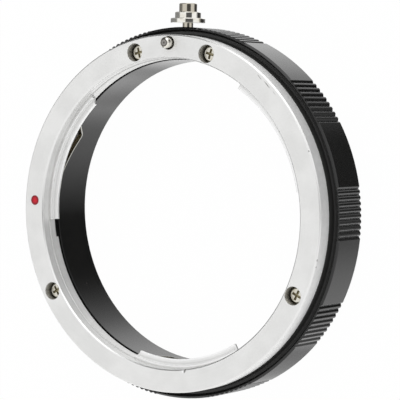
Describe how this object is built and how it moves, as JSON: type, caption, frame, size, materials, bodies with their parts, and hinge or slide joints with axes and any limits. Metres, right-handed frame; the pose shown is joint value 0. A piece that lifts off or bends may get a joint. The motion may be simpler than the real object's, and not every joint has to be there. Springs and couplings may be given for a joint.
{
  "type": "lens mount adapter",
  "caption": "Ring adapter with a three-tab bayonet face, ribbed grip, plain through bore and a sprung lock pin drawn in by a stepped knob on the rim.",
  "frame": {"origin": "centre of the ring on its rear face, where it rests", "axes": "+Z along the ring's axis, out of the bayonet face; +Y towards the release knob"},
  "size_m": [0.069, 0.0734, 0.0146],
  "materials": {
    "black_anodised": "satin black anodised",
    "satin_silver": "fine satin",
    "nickel_steel": "nickel plated",
    "polished_chrome": "polished",
    "spring_steel": "drawn wire",
    "spring_bronze": "rolled strip",
    "red_enamel": "enamel fill"
  },
  "bodies": {
    "ring": {"body_ring": "black_anodised", "bayonet_ring": "satin_silver", "bayonet_screws": "nickel_steel", "index_dot": "red_enamel", "lock_spring": "spring_steel", "leaf_spring_1": "spring_bronze", "leaf_spring_2": "spring_bronze", "leaf_spring_3": "spring_bronze"},
    "lock": {"lock_pin": "nickel_steel", "release_knob": "polished_chrome"}
  },
  "joints": [
    {"name": "lock_slide", "type": "slide", "parent": "ring", "child": "lock", "axis": [0, 0, -1], "range_m": [0, 0.002], "stiffness_N_per_m": 500, "springref_m": -0.002, "deforming": ["lock_spring"]}
  ]
}
